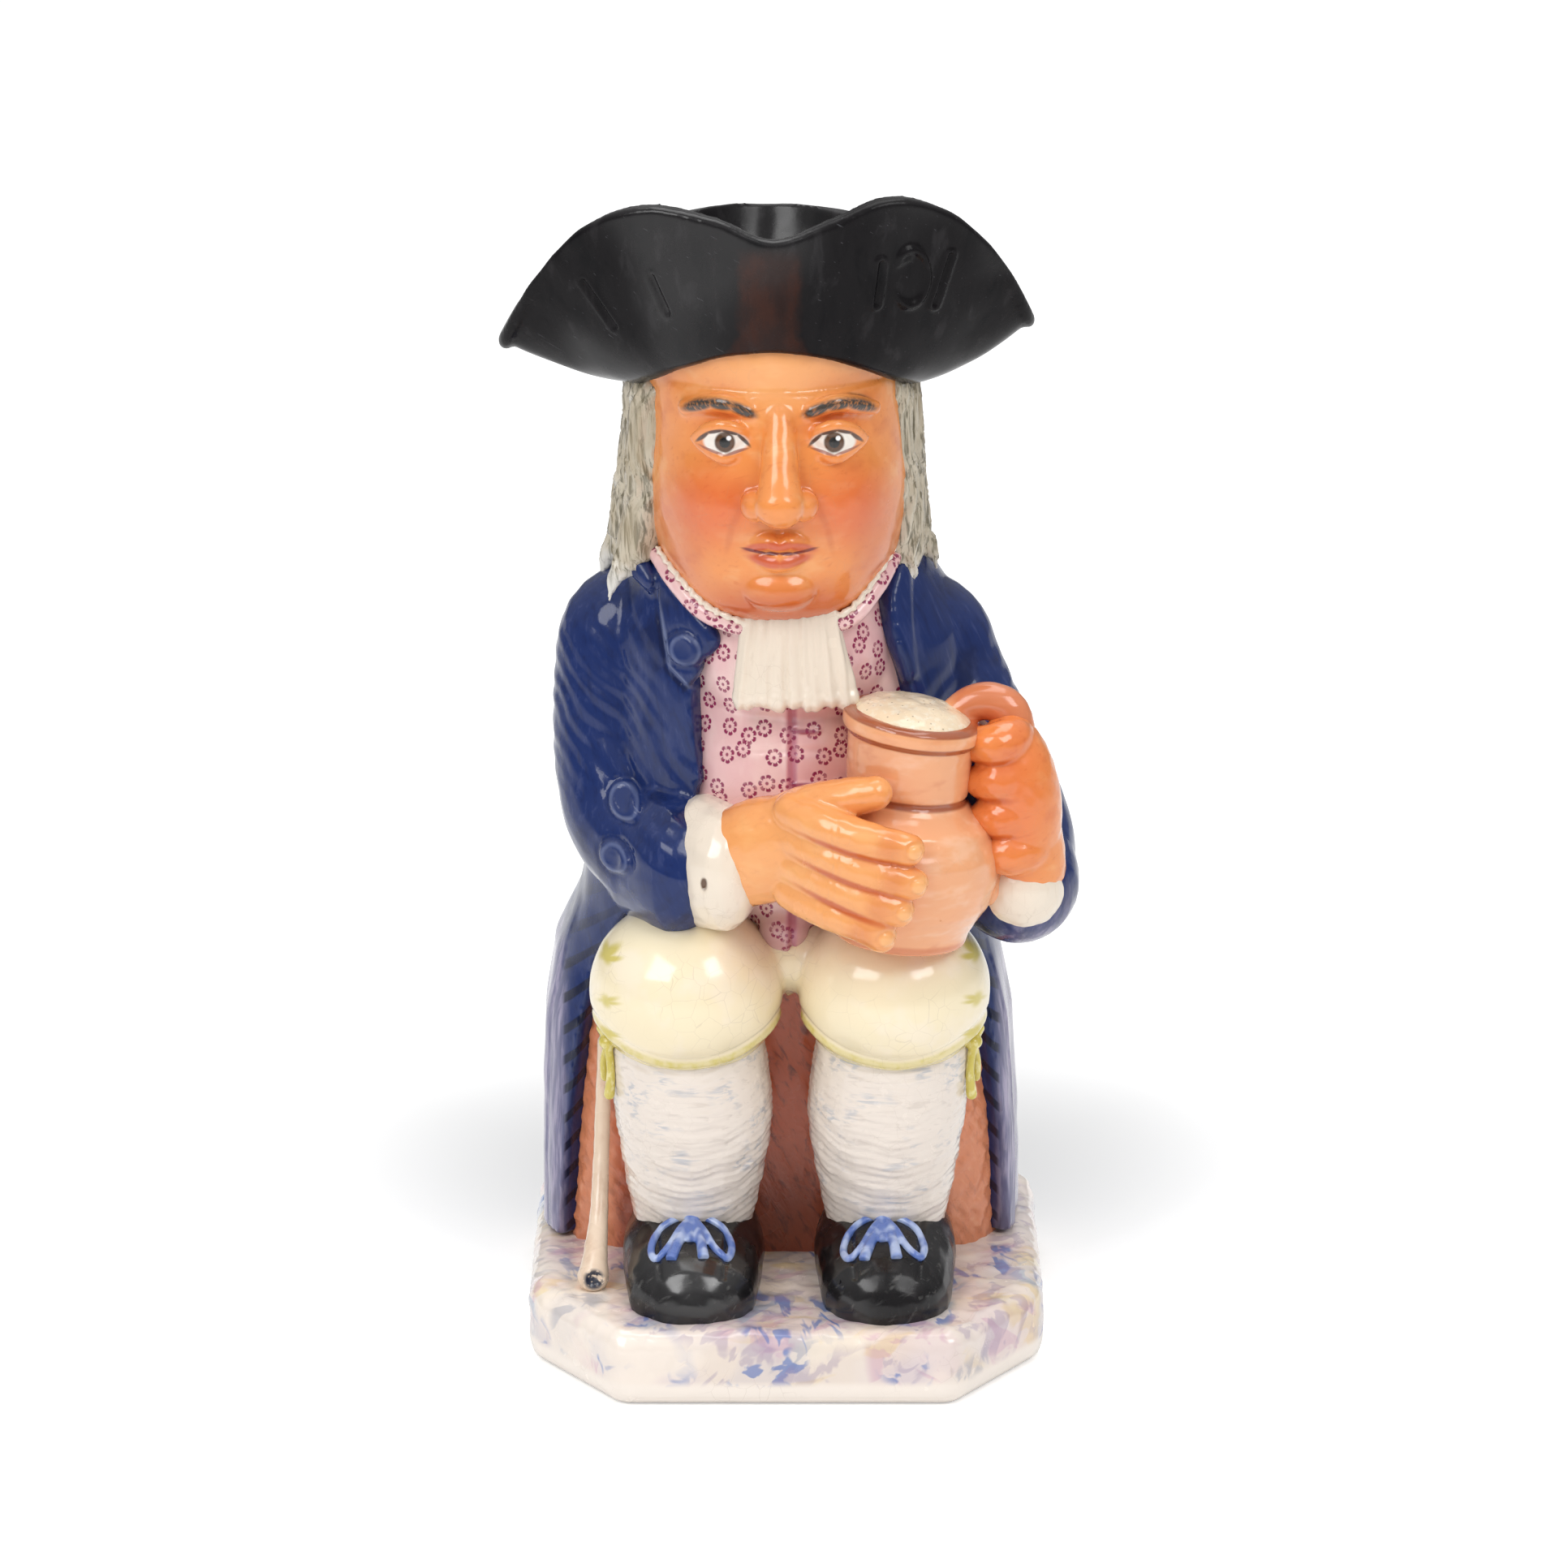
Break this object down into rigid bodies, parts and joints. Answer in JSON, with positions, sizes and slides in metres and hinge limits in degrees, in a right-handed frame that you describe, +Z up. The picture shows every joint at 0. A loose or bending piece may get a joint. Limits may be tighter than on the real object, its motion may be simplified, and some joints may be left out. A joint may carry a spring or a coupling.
{
  "type": "toby jug",
  "caption": "Glazed earthenware jug shaped as a seated man in a three-cornered hat who holds a foaming jug, hollow, poured through the hat, with a strap handle at his back.",
  "frame": {"origin": "middle of the plinth's flat underside", "axes": "+Z up, -Y the figure's front, +X the viewer's right, which is the figure's left"},
  "size_m": [0.1196, 0.1299, 0.2499],
  "materials": {
    "glazed_earthenware": "hand-painted under a clear, glossy glaze"
  },
  "bodies": {
    "root": {"toby_jug": "glazed_earthenware"}
  },
  "joints": []
}
